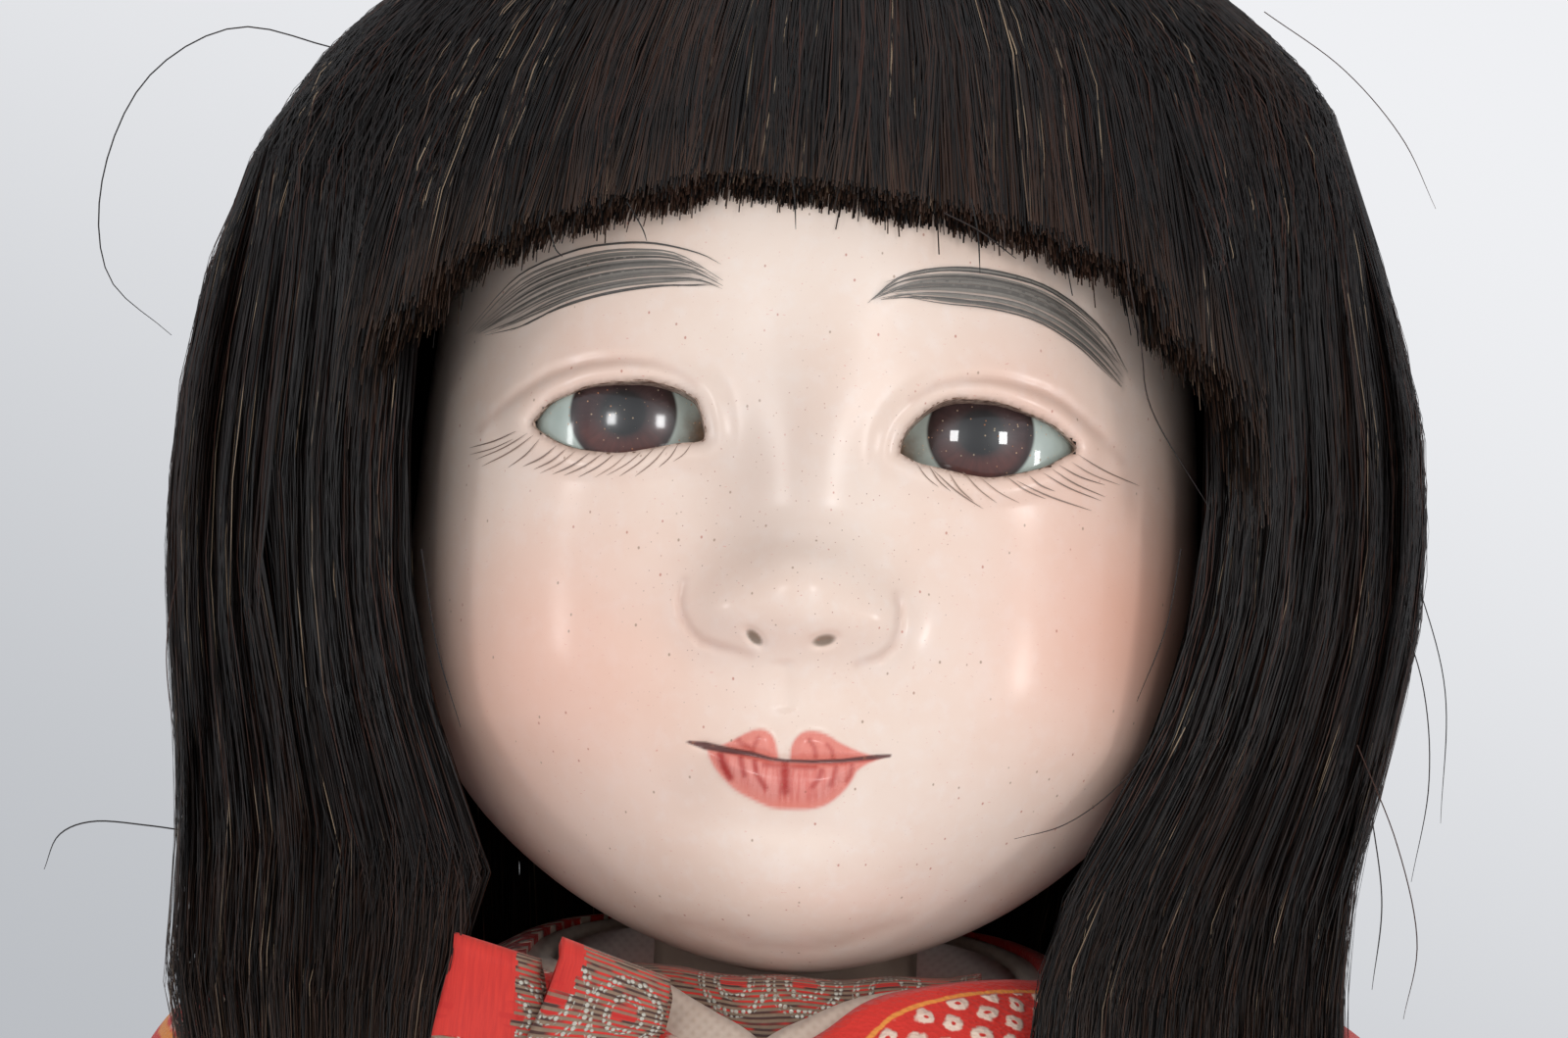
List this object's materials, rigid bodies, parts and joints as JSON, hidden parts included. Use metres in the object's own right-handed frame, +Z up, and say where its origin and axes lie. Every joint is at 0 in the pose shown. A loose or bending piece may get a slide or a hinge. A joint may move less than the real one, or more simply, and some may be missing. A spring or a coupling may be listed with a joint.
{
  "type": "gosho_doll",
  "caption": "Dressed play doll with inset glass eyes, bobbed black wig and red dappled kimono; head turns, arms swing, and it stands or sits for display and play",
  "frame": {"origin": "on the plane of the soles, under the middle of the doll's bounding box", "axes": "the doll faces -Y, +X is its left, +Z is up"},
  "size_m": [0.1216, 0.0758, 0.3942],
  "materials": {
    "shell_white": "polished shell white over composition",
    "composition": "unpainted sawdust composition",
    "neck_wood": "turned, painted where it shows",
    "eye_glass": "polished",
    "iris_enamel": "glossy painted",
    "paper_wad": "packed paper and paste",
    "wig_cloth": "dark woven cap",
    "hair": "straight combed hair",
    "stuffed_cotton": "stuffed plain cotton",
    "red_crepe": "silk crepe with white ring dots",
    "white_crepe": "off-white woven silk",
    "brocade": "ribbed brocade with metallic thread",
    "sash_cord": "braided cord"
  },
  "bodies": {
    "head": {"face_shell": "shell_white", "skull_shell": "shell_white", "neck": "neck_wood", "wig_cap": "wig_cloth", "hair_crown": "hair", "hair_fringe": "hair", "hair_side_left": "hair", "hair_side_right": "hair", "hair_lock_left": "hair", "hair_lock_right": "hair", "hair_back": "hair", "eye_glass_left": "eye_glass", "eye_glass_right": "eye_glass", "iris_left": "iris_enamel", "iris_right": "iris_enamel", "eye_wad_left": "paper_wad", "eye_wad_right": "paper_wad"},
    "arm_left": {"upper_arm_left": "stuffed_cotton", "forearm_left": "shell_white", "sleeve_left": "red_crepe"},
    "arm_right": {"upper_arm_right": "stuffed_cotton", "forearm_right": "shell_white", "sleeve_right": "red_crepe"},
    "leg_left": {"thigh_left": "stuffed_cotton", "lower_leg_left": "shell_white"},
    "leg_right": {"thigh_right": "stuffed_cotton", "lower_leg_right": "shell_white"},
    "torso": {"chest_shell": "composition", "cloth_middle": "stuffed_cotton", "hip_shell": "composition", "under_robe": "white_crepe", "under_collar": "white_crepe", "bib": "brocade", "kimono_bodice": "red_crepe", "kimono_neckband": "red_crepe", "kimono_lapel_left": "red_crepe", "kimono_lapel_right": "red_crepe", "kimono_skirt": "red_crepe", "obi": "brocade", "obi_cord": "sash_cord", "bow_loop_left": "brocade", "bow_loop_right": "brocade", "bow_knot": "brocade", "bow_tail_left": "brocade", "bow_tail_right": "brocade", "tie_loop_inner": "brocade", "tie_loop_outer": "brocade", "tie_knot": "brocade"}
  },
  "joints": [
    {"name": "neck_turn", "type": "hinge", "parent": "torso", "child": "head", "pos_m": [0, -0.00585, 0.31], "axis": [0, 0, 1], "range_deg": [-35, 35], "deforming": ["hair_side_left", "hair_side_right", "hair_back", "hair_lock_left", "hair_lock_right"]},
    {"name": "arm_left_swing", "type": "hinge", "parent": "torso", "child": "arm_left", "pos_m": [0, -0.00585, 0.3], "axis": [1, 0, 0], "range_deg": [-75, 20]},
    {"name": "arm_right_swing", "type": "hinge", "parent": "torso", "child": "arm_right", "pos_m": [0, -0.00585, 0.3], "axis": [1, 0, 0], "range_deg": [-75, 20]},
    {"name": "leg_left_swing", "type": "hinge", "parent": "torso", "child": "leg_left", "pos_m": [0, -0.00585, 0.184], "axis": [1, 0, 0], "range_deg": [-85, 0], "deforming": ["kimono_skirt", "thigh_left"]},
    {"name": "leg_right_swing", "type": "hinge", "parent": "torso", "child": "leg_right", "pos_m": [0, -0.00585, 0.184], "axis": [1, 0, 0], "range_deg": [-85, 0], "deforming": ["thigh_right"]}
  ],
  "couplings": [
    {"joint": "leg_right_swing", "follows": "leg_left_swing", "ratio": 1}
  ]
}
